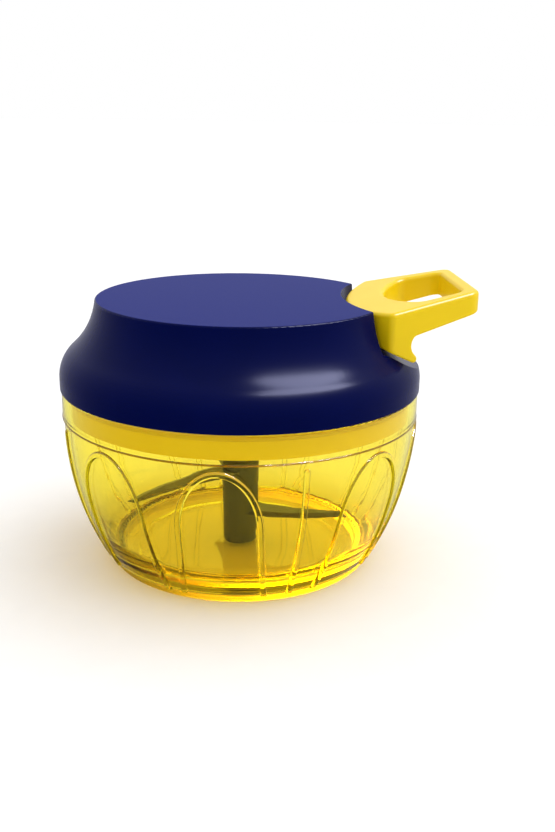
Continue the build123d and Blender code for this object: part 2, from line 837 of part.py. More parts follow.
def wound_point(quarters):
    """Point on the middle of the wound cord, in quarter turns from where it leaves the drum."""
    angle = leave_angle + quarters * math.pi / 2
    height = cord_height - cord_pitch * quarters / 4
    return Vector(cord_wrap_radius * math.cos(angle), cord_wrap_radius * math.sin(angle), height)


straight_end = 2 * cord_radius
cord_corner = Vector(cord_corner_x, 0, cord_height)
leave_direction = (cord_corner - wound_point(0)).normalized()
winding_start = wound_point(0) + leave_direction * straight_end
with BuildPart() as cord_winding:
    with BuildLine() as winding_path:
        Line(winding_start, wound_point(0))
        for quarter in range(quarters_per_turn * cord_turns):
            middle = wound_point(quarter + 0.5)
            turn = ThreePointArc(wound_point(quarter), middle, wound_point(quarter + 1))
        Line(turn @ 1, turn @ 1 + (turn % 1) * straight_end)
    with BuildSketch(Plane(winding_start, z_dir=-leave_direction)):
        Circle(cord_radius)
    sweep(path=winding_path.line)
finish(cord_winding, "cord_winding")

# Cord from the drum, round the eyelet and into the handle, with its stopper knot
knot_x = pocket_x - knot_length / 2
lead_start = winding_start + leave_direction * drop_in_gap
with BuildPart() as pull_cord:
    with BuildLine() as lead_path:
        FilletPolyline(lead_start, cord_corner, (knot_x, 0, cord_height), radius=cord_bend_radius)
    with BuildSketch(Plane(lead_start, z_dir=leave_direction)):
        Circle(cord_radius)
    sweep(path=lead_path.line)
    lead_volume = pull_cord.part.volume
    with BuildSketch(Plane.YZ.offset(knot_x)):
        with Locations((0, cord_height)):
            Circle(knot_radius)
    extrude(amount=knot_length)
    fillet(pull_cord.edges().group_by(Axis.X)[-1], knot_round)
finish(pull_cord, "pull_cord")

# Cord figures: lengths, bend, volume against section times length, and gap between turns
cord_section = math.pi * cord_radius**2
wound_length = sum(edge.length for edge in winding_path.edges())
lead_length = sum(edge.length for edge in lead_path.edges())
wound_points = [wound_point(step / gap_steps) for step in range(quarters_per_turn * cord_turns * gap_steps)]
half_turn = quarters_per_turn * gap_steps // 2
turn_gap = min(
    (late - early).length - 2 * cord_radius
    for place, early in enumerate(wound_points)
    for late in wound_points[place + half_turn :]
)
print("cord: wound length", round(wound_length, 1), "lead length", round(lead_length, 1))
print("cord: wound radius", cord_wrap_radius, "bend radius at the eyelet", cord_bend_radius)
print("cord: wound volume ratio", round(cord_winding.part.volume / (cord_section * wound_length), 4))
print("cord: lead volume ratio", round(lead_volume / (cord_section * lead_length), 4))
print("cord: least gap between turns", round(turn_gap, 3))

def handle_top(x):
    """Height of the handle's sloping top."""
    return handle_top_height + handle_rise * (x - handle_inner_x)


# Pull handle
with BuildPart() as pull_handle:
    with BuildSketch(Plane.XZ) as profile:
        with BuildLine():
            plate_under = (plate_under_x, plate_under_height)
            bulge = (foot_bulge_x, foot_bulge_height)
            toe = (foot_toe_x, foot_toe_height)
            neck = ThreePointArc(plate_under, (neck_x, neck_height), bulge)
            TangentArc(neck @ 1, toe, tangent=neck % 1)
            Polyline(
                toe,
                (notch_break_x, handle_bottom),
                (0, handle_bottom),
                (0, handle_top(0)),
                (handle_end_x, handle_top(handle_end_x)),
                (handle_end_x, handle_top(handle_end_x) - handle_end_height),
                plate_under,
            )
        make_face()
        fillet(profile.vertices().sort_by_distance(plate_under)[0], neck_round)
        fillet(profile.vertices().sort_by_distance(toe)[0], foot_toe_round)
        foot_break = profile.vertices().sort_by_distance((notch_break_x, handle_bottom))[0]
        fillet(foot_break, notch_blend + foot_gap)
    extrude(amount=notch_span, both=True)
    with BuildSketch() as plan:
        with BuildLine():
            root_near = (handle_root_x, -handle_root_half_width)
            root_far = (handle_root_x, handle_root_half_width)
            ThreePointArc(root_far, (handle_inner_x, 0), root_near)
            Polyline(
                root_near,
                (handle_end_x, -handle_end_half_width),
                (handle_end_x, handle_end_half_width),
                root_far,
            )
        make_face()
        fillet(plan.vertices().group_by(Axis.X)[-1], handle_end_corner)
        fillet(plan.vertices().group_by(Axis.X)[0], handle_root_round)
    extrude(amount=notch_span, mode=Mode.INTERSECT)
    top_face = pull_handle.faces().filter_by(lambda face: face.normal_at().Z > 0.9)[0]
    lower_edges = pull_handle.edges().filter_by(Axis.Z, reverse=True) - top_face.edges()
    end_edge = lower_edges.filter_by(Axis.Y).sort_by(Axis.X)[-1]
    fillet(lower_edges.filter_by(Axis.Y, reverse=True) + [end_edge], handle_under_round)
    with BuildSketch(Plane.XY.offset(neck_height)) as finger_hole:
        with BuildLine():
            bow_near = (hole_inner_x + hole_bow, -hole_inner_half_width)
            bow_far = (hole_inner_x + hole_bow, hole_inner_half_width)
            ThreePointArc(bow_far, (hole_inner_x, 0), bow_near)
            Polyline(
                bow_near,
                (hole_outer_x, -hole_outer_half_width),
                (hole_outer_x, hole_outer_half_width),
                bow_far,
            )
        make_face()
        fillet(finger_hole.vertices(), hole_corner)
    extrude(amount=notch_span, mode=Mode.SUBTRACT)
    top_face = pull_handle.faces().filter_by(lambda face: face.normal_at().Z > 0.9)[0]
    fillet(top_face.edges(), handle_edge_round)
    with BuildSketch(Plane.XY.offset(notch_floor)):
        with Locations((pocket_x, 0)):
            Circle(pocket_radius)
    extrude(amount=pocket_top - notch_floor, mode=Mode.SUBTRACT)
    with BuildSketch(Plane.YZ.offset(handle_inner_x - handle_gap)):
        with Locations((0, cord_height)):
            Circle(cord_hole_radius)
    extrude(amount=pocket_x - handle_inner_x + handle_gap, mode=Mode.SUBTRACT)
finish(pull_handle, "pull_handle")

# Plug under the knot's pocket
with BuildPart() as handle_plug:
    with BuildSketch(Plane.XY.offset(handle_bottom)):
        with Locations((pocket_x, 0)):
            Circle(pocket_radius - plug_gap)
    extrude(amount=plug_thickness)
finish(handle_plug, "handle_plug")

print(len(parts), "nodes")
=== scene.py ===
"""Looks of a hand-pulled vegetable chopper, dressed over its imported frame.

Metres, +Z up, +X towards the pull handle, as in the frame. A value whose name ends in
_mm is in millimetres.
"""

import logging
import math
from abc import ABC, abstractmethod
from dataclasses import dataclass, field
from enum import Enum
from typing import Any

import bmesh
import bpy
from mathutils import Matrix, Vector


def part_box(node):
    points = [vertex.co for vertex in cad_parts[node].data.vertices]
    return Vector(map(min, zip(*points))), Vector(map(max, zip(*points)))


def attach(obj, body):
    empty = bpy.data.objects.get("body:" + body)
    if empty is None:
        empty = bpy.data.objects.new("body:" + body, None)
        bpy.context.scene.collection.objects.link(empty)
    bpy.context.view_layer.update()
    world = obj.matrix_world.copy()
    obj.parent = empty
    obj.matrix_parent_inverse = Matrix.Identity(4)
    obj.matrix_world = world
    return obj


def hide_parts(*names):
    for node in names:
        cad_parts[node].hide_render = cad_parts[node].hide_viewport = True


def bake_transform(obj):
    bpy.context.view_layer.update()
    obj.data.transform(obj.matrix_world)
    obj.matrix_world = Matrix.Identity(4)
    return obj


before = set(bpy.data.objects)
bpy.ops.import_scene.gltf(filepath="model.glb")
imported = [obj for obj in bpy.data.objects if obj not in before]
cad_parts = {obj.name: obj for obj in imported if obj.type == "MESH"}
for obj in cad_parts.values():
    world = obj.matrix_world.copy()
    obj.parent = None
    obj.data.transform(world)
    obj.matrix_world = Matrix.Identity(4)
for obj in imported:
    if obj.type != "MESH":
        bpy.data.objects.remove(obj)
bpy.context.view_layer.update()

log = logging.getLogger("chopper")

MM = 0.001

# Places of a mix node's colour sockets, whose names its other sockets share
MIX_SHARE = 0
MIX_FIRST = 6
MIX_SECOND = 7
MIX_RESULT = 2

Socket = bpy.types.NodeSocket
Tree = bpy.types.NodeTree
Colour = tuple[float, float, float, float]
Point = tuple[float, float, float]


def linear(hex_colour: str) -> Colour:
    """Turn an sRGB hex colour into the linear colour that a shader takes.

    Args:
        hex_colour: The colour as "#RRGGBB".

    Returns:
        Linear red, green, blue and an alpha of 1.
    """
    channels = []
    for start in (1, 3, 5):
        value = int(hex_colour[start : start + 2], 16) / 255
        # The sRGB standard's own curve, which starts as a straight line
        straight = value / 12.92
        curved = ((value + 0.055) / 1.055) ** 2.4
        channels.append(straight if value <= 0.04045 else curved)
    return (*channels, 1.0)


def per_metre(size_mm: float) -> float:
    """Texture scale of a pattern whose features are this many millimetres apart."""
    return 1 / (size_mm * MM)


def add_node(
    tree: Tree, kind: str, inputs: dict[Any, Any] | None = None, **settings: Any
) -> bpy.types.Node:
    """Add a node with its settings, values and links.

    Args:
        tree: The node tree to add to.
        kind: The node's type name.
        inputs: A value or an output socket for each input, by name or place.
        settings: Properties of the node.

    Returns:
        The new node.
    """
    node = tree.nodes.new(kind)
    for key, value in settings.items():
        setattr(node, key, value)
    for key, value in (inputs or {}).items():
        if isinstance(value, Socket):
            tree.links.new(value, node.inputs[key])
        else:
            node.inputs[key].default_value = value
    return node


class Body(Enum):
    """The bodies of the frame that new pieces ride on."""

    BOWL = "bowl"
    LID = "lid"
    SPOOL = "spool"
    HANDLE = "handle"


@dataclass(frozen=True)
class Finish(ABC):
    """A real material with its surface, made as one node material.

    Attributes:
        name: Material and process, in plain words.
    """

    name: str

    def material(self) -> bpy.types.Material:
        """Make the material, or give it back if it is made already.

        Returns:
            The node material.
        """
        made = bpy.data.materials.get(self.name)
        if made is not None:
            return made
        made = bpy.data.materials.new(self.name)
        made.use_nodes = True
        tree = made.node_tree
        tree.nodes.clear()
        surface = {"Surface": self.shader(tree)}
        add_node(tree, "ShaderNodeOutputMaterial", surface | self.filling(tree))
        return made

    @abstractmethod
    def shader(self, tree: Tree) -> Socket:
        """Build the nodes of the surface.

        Args:
            tree: The material's node tree.

        Returns:
            The shader's output.
        """

    def filling(self, tree: Tree) -> dict[str, Socket]:
        """Build the nodes of the inside: most materials have none."""
        return {}


@dataclass(frozen=True)
class MouldedPlastic(Finish):
    """Opaque moulded plastic: faint flow shading, even gloss and a fine tool grain.

    Attributes:
        colour: Main colour.
        deep: Slightly deeper colour of the flow shading.
        flow_mm: Size of the flow shading.
        roughness: Roughness at its glossiest.
        dulling: What the flow shading adds to the roughness.
        grain_mm: Size of the tool grain.
        grain_depth_mm: Height of the tool grain.
        specular: Specular level.
        glow: Subsurface weight.
        glow_mm: How far light spreads below the surface.
    """

    # Shares of glow_mm that red, green and blue light spread
    GLOW_SHARES = (1.0, 0.6, 0.15)

    colour: str
    deep: str
    flow_mm: float = 14.0
    roughness: float = 0.3
    dulling: float = 0.06
    grain_mm: float = 0.5
    grain_depth_mm: float = 0.004
    specular: float = 0.5
    glow: float = 0.0
    glow_mm: float = 1.0

    def shader(self, tree: Tree) -> Socket:
        """Build the nodes of the plastic.

        Args:
            tree: The material's node tree.

        Returns:
            The shader's output.
        """
        place = add_node(tree, "ShaderNodeTexCoord").outputs["Object"]
        flow = add_node(tree, "ShaderNodeTexNoise", {
            "Vector": place,
            "Scale": per_metre(self.flow_mm),
            "Detail": 3.0,
            "Distortion": 0.6,
        }).outputs["Fac"]
        grain_inputs = {"Vector": place, "Scale": per_metre(self.grain_mm), "Detail": 4.0}
        grain = add_node(tree, "ShaderNodeTexNoise", grain_inputs).outputs["Fac"]
        tint = add_node(tree, "ShaderNodeMix", {
            MIX_SHARE: flow,
            MIX_FIRST: linear(self.colour),
            MIX_SECOND: linear(self.deep),
        }, data_type="RGBA").outputs[MIX_RESULT]
        gloss = add_node(tree, "ShaderNodeMapRange", {
            "Value": flow,
            "To Min": self.roughness,
            "To Max": self.roughness + self.dulling,
        }).outputs["Result"]
        bump_inputs = {"Height": grain, "Distance": self.grain_depth_mm * MM, "Strength": 1.0}
        bump = add_node(tree, "ShaderNodeBump", bump_inputs).outputs["Normal"]
        plastic = add_node(tree, "ShaderNodeBsdfPrincipled", {
            "Base Color": tint,
            "Roughness": gloss,
            "Normal": bump,
            "Specular IOR Level": self.specular,
            "Subsurface Weight": self.glow,
            "Subsurface Radius": self.GLOW_SHARES,
            "Subsurface Scale": self.glow_mm * MM,
        })
        return plastic.outputs["BSDF"]


@dataclass(frozen=True)
class GrainedLid(Finish):
    """Navy ABS of the lid: satin sides, and a spark-eroded grain on the flat top, whose paler
    colour is painted light from above.

    Attributes:
        colour: Colour of the sides.
        deep: Colour of the sides in the flow shading.
        top_lit_colour: Paler colour of the top, painted light from above.
        top_height: Height of the flat top, in metres.
        bloom: Colour of the faint satin bloom where a side turns away.
        bloom_weight: Strength of the bloom.
        bloom_roughness: How far the bloom reaches in from the outline.
        edge_mm: Height over which the grain and the top's painted light fade out at the top's
            edge.
        side_roughness: Roughness of the sides.
        top_roughness: Roughness of the top.
        flow_mm: Size of the flow shading.
        grain_mm: Size of the grain, drawn about twice as coarse as it is so that it shows.
        side_depth_mm: Height of the grain on the sides.
        top_depth_mm: Height of the grain on the top.
        specular: Specular level.
    """

    colour: str
    deep: str
    top_lit_colour: str
    top_height: float
    bloom: str
    bloom_weight: float = 0.12
    bloom_roughness: float = 0.35
    edge_mm: float = 0.1
    side_roughness: float = 0.22
    top_roughness: float = 0.5
    flow_mm: float = 22.0
    grain_mm: float = 0.35
    side_depth_mm: float = 0.0002
    top_depth_mm: float = 0.012
    specular: float = 0.05

    def shader(self, tree: Tree) -> Socket:
        """Build the nodes of the lid's plastic.

        Args:
            tree: The material's node tree.

        Returns:
            The shader's output.
        """
        place = add_node(tree, "ShaderNodeTexCoord").outputs["Object"]
        height = add_node(tree, "ShaderNodeSeparateXYZ", {"Vector": place}).outputs["Z"]
        on_top = add_node(tree, "ShaderNodeMapRange", {
            "Value": height,
            "From Min": self.top_height - self.edge_mm * MM,
            "From Max": self.top_height,
        }, interpolation_type="SMOOTHSTEP").outputs["Result"]
        flow = add_node(tree, "ShaderNodeTexNoise", {
            "Vector": place,
            "Scale": per_metre(self.flow_mm),
            "Detail": 3.0,
            "Distortion": 0.8,
        }).outputs["Fac"]
        grain_inputs = {"Vector": place, "Scale": per_metre(self.grain_mm), "Detail": 3.0}
        grain = add_node(tree, "ShaderNodeTexNoise", grain_inputs).outputs["Fac"]
        side = add_node(tree, "ShaderNodeMix", {
            MIX_SHARE: flow,
            MIX_FIRST: linear(self.colour),
            MIX_SECOND: linear(self.deep),
        }, data_type="RGBA").outputs[MIX_RESULT]
        # The top's paler colour is painted light from above
        tint = add_node(tree, "ShaderNodeMix", {
            MIX_SHARE: on_top,
            MIX_FIRST: side,
            MIX_SECOND: linear(self.top_lit_colour),
        }, data_type="RGBA").outputs[MIX_RESULT]
        gloss = add_node(tree, "ShaderNodeMapRange", {
            "Value": on_top,
            "To Min": self.side_roughness,
            "To Max": self.top_roughness,
        }).outputs["Result"]
        depth = add_node(tree, "ShaderNodeMapRange", {
            "Value": on_top,
            "To Min": self.side_depth_mm * MM,
            "To Max": self.top_depth_mm * MM,
        }).outputs["Result"]
        bump_inputs = {"Height": grain, "Distance": depth, "Strength": 1.0}
        bump = add_node(tree, "ShaderNodeBump", bump_inputs).outputs["Normal"]
        plastic = add_node(tree, "ShaderNodeBsdfPrincipled", {
            "Base Color": tint,
            "Roughness": gloss,
            "Normal": bump,
            "Specular IOR Level": self.specular,
            "Sheen Weight": self.bloom_weight,
            "Sheen Roughness": self.bloom_roughness,
            "Sheen Tint": linear(self.bloom),
        })
        return plastic.outputs["BSDF"]


@dataclass(frozen=True)
class ClearPlastic(Finish):
    """Tinted see-through plastic with a faint flow ripple, clear or cloudy by its roughness.

    Attributes:
        tint: What the two faces of a wall let through.
        dye: What the inside of one wall lets through.
        veil: What one face lets through of the light that falls on the inside and the floor.
        wall_mm: Thickness of the wall along a usual line of sight.
        ior: Refractive index.
        roughness: Roughness at its clearest.
        ripple_mm: Size of the flow ripple.
        ripple_depth_mm: Height of the flow ripple.
        haze: What the ripple adds to the roughness.
    """

    tint: str
    dye: str
    veil: str = "#FFF8E0"
    wall_mm: float = 2.6
    ior: float = 1.52
    roughness: float = 0.015
    ripple_mm: float = 26.0
    ripple_depth_mm: float = 0.03
    haze: float = 0.02

    def shader(self, tree: Tree) -> Socket:
        """Build the nodes of the clear plastic.

        Args:
            tree: The material's node tree.

        Returns:
            The shader's output.
        """
        place = add_node(tree, "ShaderNodeTexCoord").outputs["Object"]
        ripple_inputs = {"Vector": place, "Scale": per_metre(self.ripple_mm), "Detail": 1.0}
        ripple = add_node(tree, "ShaderNodeTexNoise", ripple_inputs).outputs["Fac"]
        haze = add_node(tree, "ShaderNodeMapRange", {
            "Value": ripple,
            "To Min": self.roughness,
            "To Max": self.roughness + self.haze,
        }).outputs["Result"]
        bump_inputs = {"Height": ripple, "Distance": self.ripple_depth_mm * MM, "Strength": 1.0}
        bump = add_node(tree, "ShaderNodeBump", bump_inputs).outputs["Normal"]
        glass = add_node(tree, "ShaderNodeBsdfPrincipled", {
            "Base Color": linear(self.tint),
            "Roughness": haze,
            "Normal": bump,
            "IOR": self.ior,
            "Transmission Weight": 1.0,
        }).outputs["BSDF"]
        # Light on its way to other pieces and to the floor goes straight through, only tinted
        veil_inputs = {"Color": linear(self.veil)}
        passing = add_node(tree, "ShaderNodeBsdfTransparent", veil_inputs).outputs["BSDF"]
        ray = add_node(tree, "ShaderNodeLightPath").outputs
        soft_inputs = {0: ray["Is Shadow Ray"], 1: ray["Is Diffuse Ray"]}
        soft = add_node(tree, "ShaderNodeMath", soft_inputs, operation="MAXIMUM").outputs["Value"]
        mixed = add_node(tree, "ShaderNodeMixShader", {0: soft, 1: glass, 2: passing})
        return mixed.outputs["Shader"]

    def filling(self, tree: Tree) -> dict[str, Socket]:
        """Fill the wall with its dye, which deepens the tint where light runs far inside it.

        Args:
            tree: The material's node tree.

        Returns:
            The volume's output, by the name of the input that it goes to.
        """
        losses = [-math.log(share) / (self.wall_mm * MM) for share in linear(self.dye)[:3]]
        density = max(losses)
        colour = (*(1 - loss / density for loss in losses), 1.0)
        dye_inputs = {"Color": colour, "Density": density}
        inside = add_node(tree, "ShaderNodeVolumeAbsorption", dye_inputs)
        return {"Volume": inside.outputs["Volume"]}


@dataclass(frozen=True)
class GroundSteel(Finish):
    """Stainless steel, ground in one direction: grey, with fine streaks that spread its shine.

    Attributes:
        colour: Colour of the steel.
        worn: Colour of the duller streaks.
        heading: Direction of the streaks about Z, in degrees.
        streak_mm: Width of the streaks, drawn coarser than real grinding so that they show.
        streak_length_mm: Length of the streaks.
        streak_depth_mm: Depth of the streaks.
        roughness: Roughness between the streaks.
        dulling: What the streaks add to the roughness.
    """

    colour: str
    worn: str
    heading: float = 0.0
    streak_mm: float = 0.25
    streak_length_mm: float = 12.0
    streak_depth_mm: float = 0.003
    roughness: float = 0.26
    dulling: float = 0.16

    def shader(self, tree: Tree) -> Socket:
        """Build the nodes of the steel.

        Args:
            tree: The material's node tree.

        Returns:
            The shader's output.
        """
        place = add_node(tree, "ShaderNodeTexCoord").outputs["Object"]
        turned = add_node(tree, "ShaderNodeMapping", {
            "Vector": place,
            "Rotation": (0.0, 0.0, -math.radians(self.heading)),
        }).outputs["Vector"]
        lengthwise = per_metre(self.streak_length_mm)
        across = per_metre(self.streak_mm)
        stretched = add_node(tree, "ShaderNodeMapping", {
            "Vector": turned,
            "Scale": (lengthwise, across, across),
        }).outputs["Vector"]
        streak_inputs = {"Vector": stretched, "Scale": 1.0, "Detail": 4.0}
        streak = add_node(tree, "ShaderNodeTexNoise", streak_inputs).outputs["Fac"]
        tint = add_node(tree, "ShaderNodeMix", {
            MIX_SHARE: streak,
            MIX_FIRST: linear(self.colour),
            MIX_SECOND: linear(self.worn),
        }, data_type="RGBA").outputs[MIX_RESULT]
        gloss = add_node(tree, "ShaderNodeMapRange", {
            "Value": streak,
            "To Min": self.roughness,
            "To Max": self.roughness + self.dulling,
        }).outputs["Result"]
        bump_inputs = {"Height": streak, "Distance": self.streak_depth_mm * MM, "Strength": 1.0}
        bump = add_node(tree, "ShaderNodeBump", bump_inputs).outputs["Normal"]
        steel = add_node(tree, "ShaderNodeBsdfPrincipled", {
            "Base Color": tint,
            "Roughness": gloss,
            "Normal": bump,
            "Metallic": 1.0,
        })
        return steel.outputs["BSDF"]


@dataclass(frozen=True)
class BraidedCord(Finish):
    """Braided polyester: off-white yarns that cross on the slant, with painted shade in the
    hollows between them.

    The pattern follows the cord's own map, whose U goes once round and whose V runs along
    the cord in turns of the braid, so that it bends with the cord.

    Attributes:
        yarn: Colour of the yarns.
        hollow_shade: Painted shade, a darker colour between the yarns.
        yarns: Yarns that wind each way.
        yarn_depth_mm: Height of the yarns.
        hollow_level: Level below which the braid is all in the hollows, where the middle of a yarn
            is 1.
        roughness: Roughness of the yarns.
        fuzz: Sheen of the loose fibres.
    """

    yarn: str
    hollow_shade: str
    yarns: int = 8
    yarn_depth_mm: float = 0.12
    hollow_level: float = -0.5
    roughness: float = 0.75
    fuzz: float = 0.3

    def shader(self, tree: Tree) -> Socket:
        """Build the nodes of the cord.

        Args:
            tree: The material's node tree.

        Returns:
            The shader's output.
        """
        around, along = self.lay(tree)
        heights = []
        for way in (1.0, -1.0):
            slant_inputs = {0: around, 1: way, 2: along}
            slant = add_node(tree, "ShaderNodeMath", slant_inputs, operation="MULTIPLY_ADD")
            turn_inputs = {0: slant.outputs["Value"], 1: math.tau * self.yarns}
            turn = add_node(tree, "ShaderNodeMath", turn_inputs, operation="MULTIPLY")
            wave_inputs = {0: turn.outputs["Value"]}
            wave = add_node(tree, "ShaderNodeMath", wave_inputs, operation="SINE")
            heights.append(wave.outputs["Value"])
        top_inputs = dict(enumerate(heights))
        top = add_node(tree, "ShaderNodeMath", top_inputs, operation="MAXIMUM").outputs["Value"]
        rise_inputs = {"Value": top, "From Min": self.hollow_level, "From Max": 1.0}
        rise = add_node(tree, "ShaderNodeMapRange", rise_inputs).outputs["Result"]
        # Painted shade: the hollows between the yarns take a darker colour
        tint = add_node(tree, "ShaderNodeMix", {
            MIX_SHARE: rise,
            MIX_FIRST: linear(self.hollow_shade),
            MIX_SECOND: linear(self.yarn),
        }, data_type="RGBA").outputs[MIX_RESULT]
        bump_inputs = {"Height": rise, "Distance": self.yarn_depth_mm * MM, "Strength": 1.0}
        bump = add_node(tree, "ShaderNodeBump", bump_inputs).outputs["Normal"]
        cord = add_node(tree, "ShaderNodeBsdfPrincipled", {
            "Base Color": tint,
            "Roughness": self.roughness,
            "Normal": bump,
            "Sheen Weight": self.fuzz,
        })
        return cord.outputs["BSDF"]

    def lay(self, tree: Tree) -> tuple[Socket, Socket]:
        """Read the turns round the cord and along it from the cord's map.

        Args:
            tree: The material's node tree.

        Returns:
            Turns round the cord, and turns of the braid along it.
        """
        place = add_node(tree, "ShaderNodeUVMap", uv_map=CordTube.MAP_NAME).outputs["UV"]
        split = add_node(tree, "ShaderNodeSeparateXYZ", {"Vector": place}).outputs
        return split["X"], split["Y"]


@dataclass(frozen=True)
class TautBraid(BraidedCord):
    """The same braid, laid from the place on the straight lead rather than from the cord's map.

    Attributes:
        height_mm: Height of the lead, which runs along X.
    """

    height_mm: float = 88.0

    def lay(self, tree: Tree) -> tuple[Socket, Socket]:
        """Read the turns round the lead and along it from the place on it.

        Args:
            tree: The material's node tree.

        Returns:
            Turns round the lead, and turns of the braid along it.
        """
        place = add_node(tree, "ShaderNodeTexCoord").outputs["Object"]
        split = add_node(tree, "ShaderNodeSeparateXYZ", {"Vector": place}).outputs
        up_inputs = {0: split["Z"], 1: self.height_mm * MM}
        up = add_node(tree, "ShaderNodeMath", up_inputs, operation="SUBTRACT")
        angle_inputs = {0: split["Y"], 1: up.outputs["Value"]}
        angle = add_node(tree, "ShaderNodeMath", angle_inputs, operation="ARCTAN2")
        around_inputs = {0: angle.outputs["Value"], 1: math.tau}
        around = add_node(tree, "ShaderNodeMath", around_inputs, operation="DIVIDE")
        along_inputs = {0: split["X"], 1: per_metre(CordTube.BRAID_MM)}
        along = add_node(tree, "ShaderNodeMath", along_inputs, operation="MULTIPLY")
        return around.outputs["Value"], along.outputs["Value"]


# SAN, moulded and polished: clear yellow, so what is behind it shows sharp and golden
CLEAR_YELLOW = ClearPlastic("SAN_moulded_clear_yellow", tint="#FFF6AC", dye="#FCFBCC")
# SAN, moulded and polished: the bowl's yellow dyed deep as painted shade, so that the fine bead
# shows as the dark golden line of a shaded groove
GROOVE_SHADE_YELLOW = ClearPlastic(
    "SAN_moulded_yellow_painted_groove_shade",
    tint="#FFF6AC",
    dye="#B09A30",
    wall_mm=0.7,
)
# ABS, moulded glossy: a clean yellow with a soft shine and a little light in its edges
GLOSS_YELLOW = MouldedPlastic(
    "ABS_moulded_gloss_yellow",
    colour="#F5D30C",
    deep="#EFCB06",
    specular=0.22,
    glow=0.12,
    glow_mm=2.0,
)
# ABS, moulded glossy: lemon, which turns golden behind the clear collar
LEMON = MouldedPlastic(
    "ABS_moulded_gloss_lemon",
    colour="#FFEA26",
    deep="#FAE21E",
    specular=0.3,
)
# Soft TPE, moulded: a cloudy golden ring that blurs what is behind it
SOFT_YELLOW = ClearPlastic(
    "TPE_moulded_cloudy_golden",
    tint="#FFF4B0",
    dye="#FAF8C0",
    roughness=0.8,
    ior=1.49,
)
# ABS, moulded satin: navy that is nearly black in the shade, with a grained top made paler by
# painted light from above
NAVY = GrainedLid(
    "ABS_moulded_satin_navy",
    colour="#000844",
    deep="#000639",
    top_lit_colour="#071A6C",
    bloom="#5A5CD8",
    top_height=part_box("lid_cover")[1].z,
)
# POM, moulded: charcoal, dull
CHARCOAL = MouldedPlastic(
    "POM_moulded_charcoal",
    colour="#33312D",
    deep="#2A2825",
    roughness=0.42,
    grain_mm=0.4,
    grain_depth_mm=0.008,
)
# POM, moulded: milky white, waxy
MILK_WHITE = MouldedPlastic(
    "POM_moulded_milk_white",
    colour="#E6E4DC",
    deep="#DAD8CE",
    roughness=0.36,
    glow=0.15,
    glow_mm=1.5,
)
# Silicone rubber, moulded: yellow and dull, so that it hardly shows beside the lid's base
WARM_RUBBER = MouldedPlastic(
    "Silicone_moulded_warm",
    colour="#EFD634",
    deep="#E6CC2A",
    roughness=0.58,
    dulling=0.1,
    glow=0.25,
    glow_mm=2.0,
)
# Stainless steel, ground along the blade: its grey darkened as painted shade, for the dark that
# the blades mirror, so that it reads as olive through the bowl
BLADE_PAINTED_SHADE_TONE = {"colour": "#625F59", "worn": "#4B4843"}
LOWER_STEEL = GroundSteel("Stainless_ground_lower_blade", heading=-21.5, **BLADE_PAINTED_SHADE_TONE)
MIDDLE_STEEL = GroundSteel("Stainless_ground_middle_blade", heading=92.0, **BLADE_PAINTED_SHADE_TONE)
UPPER_STEEL = GroundSteel("Stainless_ground_upper_blade", heading=208.5, **BLADE_PAINTED_SHADE_TONE)
# Stainless steel, turned: pale, with finer and shorter streaks and a closer shine
TURNED_STEEL = GroundSteel(
    "Stainless_turned",
    colour="#CFCFD0",
    worn="#B4B5B6",
    streak_mm=0.15,
    streak_length_mm=3.0,
    roughness=0.2,
)
# Polyester, braided: dull off-white yarns, with painted shade as a darker colour in the hollows
# between them
CORD_TONE = {"yarn": "#E4DFD2", "hollow_shade": "#8F897A"}
CORD_BRAID = BraidedCord("Polyester_braided_off_white", **CORD_TONE)
LEAD_BRAID = TautBraid("Polyester_braided_off_white_lead", **CORD_TONE)
# Paper, matt: pale, with hardly any shine
MATT_PAPER = MouldedPlastic(
    "Paper_matt_white",
    colour="#F4F4F4",
    deep="#F0F0F0",
    roughness=0.9,
    grain_mm=2.0,
    grain_depth_mm=0.01,
    specular=0.1,
)


@dataclass
class DressedNodes:
    """A set of frame nodes that share one finish.

    Attributes:
        finish: The finish.
        nodes: Names of the nodes.
    """

    finish: Finish
    nodes: tuple[str, ...]

    def dress(self) -> None:
        """Give every node of the set the finish."""
        for name in self.nodes:
            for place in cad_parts[name].material_slots:
                place.material = self.finish.material()
            log.info("dressed %s with %s", name, self.finish.name)


def piece_from(shape: bmesh.types.BMesh, name: str) -> bpy.types.Object:
    """Turn a finished bmesh into a smooth object in the scene.

    Args:
        shape: The bmesh, which is freed.
        name: Name of the piece.

    Returns:
        The object, at the origin.
    """
    mesh = bpy.data.meshes.new(name)
    shape.to_mesh(mesh)
    shape.free()
    mesh.shade_smooth()
    piece = bpy.data.objects.new(name, mesh)
    bpy.context.scene.collection.objects.link(piece)
    return piece


